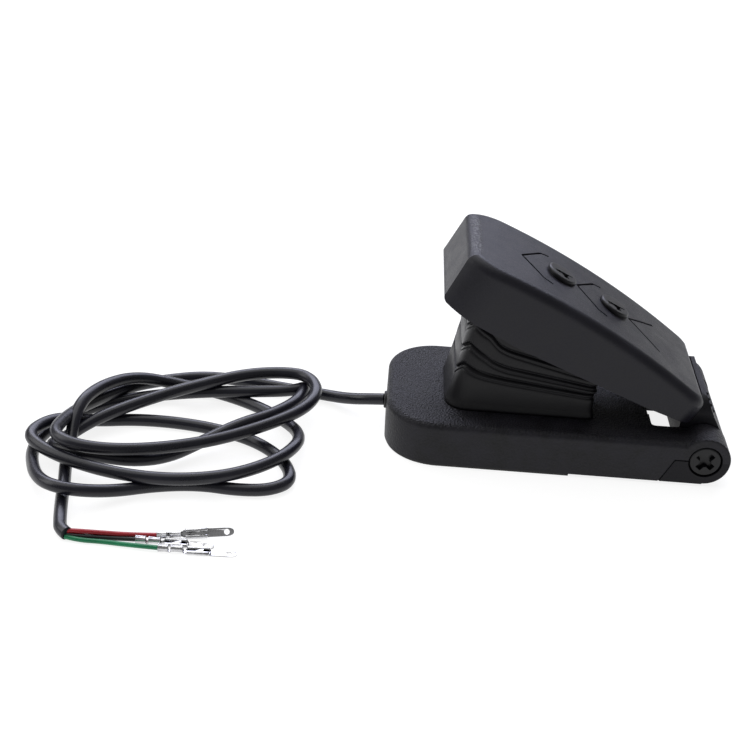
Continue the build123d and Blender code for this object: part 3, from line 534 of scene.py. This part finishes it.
def boot_outline(toe_x, heel_x, half):
    """Plan of one band from the middle of the heel end to the middle of the toe end, on the near side:
    x, y and, from the toe corner on, the share of the way round it."""
    spots = [(heel_x, -(half - HEEL_R) * i / END_STEPS, None) for i in range(END_STEPS + 1)]
    for i in range(1, HEEL_STEPS + 1):
        turn = radians(90 * i / HEEL_STEPS)
        spots.append((heel_x - HEEL_R * (1 - cos(turn)), -half + HEEL_R * (1 - sin(turn)), None))
    side_start, side_end = heel_x - HEEL_R, toe_x + TOE_R
    for i in range(1, SIDE_STEPS):
        spots.append((side_start + (side_end - side_start) * i / SIDE_STEPS, -half, None))
    for i in range(TOE_STEPS + 1):
        turn = radians(90 * i / TOE_STEPS)
        spots.append((toe_x + TOE_R * (1 - sin(turn)), -half + TOE_R * (1 - cos(turn)), i / TOE_STEPS))
    toe_end = -(half - TOE_R)
    return spots + [(toe_x, toe_end * (END_STEPS - i) / END_STEPS, 1.0) for i in range(1, END_STEPS + 1)]


def band_rings():
    """Every ring of the bellows: its band, whether it counts from the fold above, how far from that fold,
    and how far in from the band's face."""
    rings = [(0, False, 0.0, -0.7), (0, False, 1.5, -0.7), (0, False, 2.4, 0.0)]
    for band in range(len(BANDS)):
        if band:
            rings += [(band, False, rise, inset) for rise, inset in ABOVE_FOLD]
        if band < len(BANDS) - 1:
            rings += [(band, True, rise, inset) for rise, inset in BELOW_FOLD]
    return rings + [(len(BANDS) - 1, True, 0.0, 0.0)]


def bellows():
    """The folded boot, as one skin with a wall of even thickness."""
    mesh = bmesh.new()
    rings = []
    for band, from_above, rise, inset in band_rings():
        toe_foot_x, toe_crest_x, heel_x, half = BANDS[band]
        toe_x = toe_crest_x if from_above else toe_foot_x
        low, high = FOLDS[band], FOLDS[band + 1]
        near = []
        for x, y, share in boot_outline(toe_x + inset, heel_x - inset, half - inset):
            foot, crest = fold_height(low, x, share), fold_height(high, x, share)
            offset = rise * min(1.0, (crest - foot) / FULL_GAP)
            near.append((x, y, crest - offset if from_above else foot + offset))
        spots = near + [(x, -y, z) for x, y, z in reversed(near[1:-1])]
        rings.append([mesh.verts.new(Vector(spot) * MM) for spot in spots])
    for low, high in zip(rings, rings[1:]):
        for i in range(len(low)):
            j = (i + 1) % len(low)
            mesh.faces.new((low[j], low[i], high[i], high[j]))
    data = bpy.data.meshes.new("bellows_boot")
    mesh.to_mesh(data)
    mesh.free()
    data.shade_smooth()
    obj = link("bellows_boot", data)
    smooth = obj.modifiers.new("smooth", "SUBSURF")
    smooth.levels = smooth.render_levels = 1
    wall = obj.modifiers.new("wall", "SOLIDIFY")
    wall.thickness = WALL * MM
    wall.offset = -1
    walled = final_mesh(obj)
    obj.modifiers.clear()
    obj.data = walled
    return obj


boot = stand_in(bellows(), "bellows_rubber", "bellows")
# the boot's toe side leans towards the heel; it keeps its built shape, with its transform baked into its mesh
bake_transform(boot)

# ---------------------------------------------------------------- return spring
SPRING_X, SPRING_R, SPRING_WIRE_R = -20.0, 10.0, 0.9
SPRING_LOW, SPRING_HIGH = 22.7, 64.9
SPRING_TURNS, SPRING_STEPS = 7, 24


def spring():
    """A helix of round wire between the cup in the base and the seat under the treadle."""
    curve = bpy.data.curves.new("coil_spring", "CURVE")
    curve.dimensions = "3D"
    curve.bevel_depth = SPRING_WIRE_R * MM
    curve.bevel_resolution = 3
    curve.use_fill_caps = True
    line = curve.splines.new("POLY")
    count = SPRING_TURNS * SPRING_STEPS
    line.points.add(count)
    for i, point in enumerate(line.points):
        turn = 2 * pi * i / SPRING_STEPS
        z = SPRING_LOW + (SPRING_HIGH - SPRING_LOW) * i / count
        point.co = ((SPRING_X + SPRING_R * cos(turn)) * MM, SPRING_R * sin(turn) * MM, z * MM, 1)
    holder = link("coil_spring_line", curve)
    data = final_mesh(holder)
    bpy.data.objects.remove(holder)
    return link("coil_spring", data)


coil_spring = stand_in(spring(), "spring_steel", "return_spring")
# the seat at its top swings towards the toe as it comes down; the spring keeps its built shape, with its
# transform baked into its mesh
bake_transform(coil_spring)

# ---------------------------------------------------------------- floor and light
FLOOR_HALF = 4.0
ground = bpy.data.meshes.new("floor")
FLOOR_SIDES = ((-1, -1), (1, -1), (1, 1), (-1, 1))
ground.from_pydata([(x * FLOOR_HALF, y * FLOOR_HALF, 0) for x, y in FLOOR_SIDES], [], [(0, 1, 2, 3)])
floor = link("floor", ground)
floor.data.materials.append(
    finish("floor_paper", (0.25, 0.25, 0.25), 0.9, 3.0, 0.02, patch=60.0, tone=0.01,
           emission_color=(1.0, 1.0, 1.0, 1.0), emission_strength=0.85, specular_ior_level=0.1)
)

world = bpy.data.worlds.new("studio")
world.use_nodes = True
background = world.node_tree.nodes["Background"]
background.inputs["Color"].default_value = (1.0, 1.0, 1.0, 1.0)
background.inputs["Strength"].default_value = 0.26
scene.world = world


def softbox(name, at, aim, size, power, colour=(1.0, 1.0, 1.0)):
    """A rectangular soft light at one place, aimed at another."""
    lamp = bpy.data.lights.new(name, "AREA")
    lamp.color = colour
    lamp.shape = "RECTANGLE"
    lamp.size, lamp.size_y = size
    lamp.energy = power
    obj = link(name, lamp)
    obj.location = at
    obj.rotation_euler = (Vector(aim) - Vector(at)).to_track_quat("-Z", "Y").to_euler()


key = link("key", bpy.data.lights.new("key", "SUN"))
key.data.energy = 1.7
key.data.angle = radians(70)
key.rotation_euler = (radians(-18), radians(-14), 0)
softbox("left_box", (-1.3, -0.1, 0.7), (-0.1, 0, 0.05), (0.9, 0.8), 5)
softbox("back_box", (-0.1, 1.3, 1.0), (-0.08, 0, 0.03), (2.0, 0.8), 22, (0.78, 0.80, 1.0))

scene.view_settings.view_transform = "Standard"
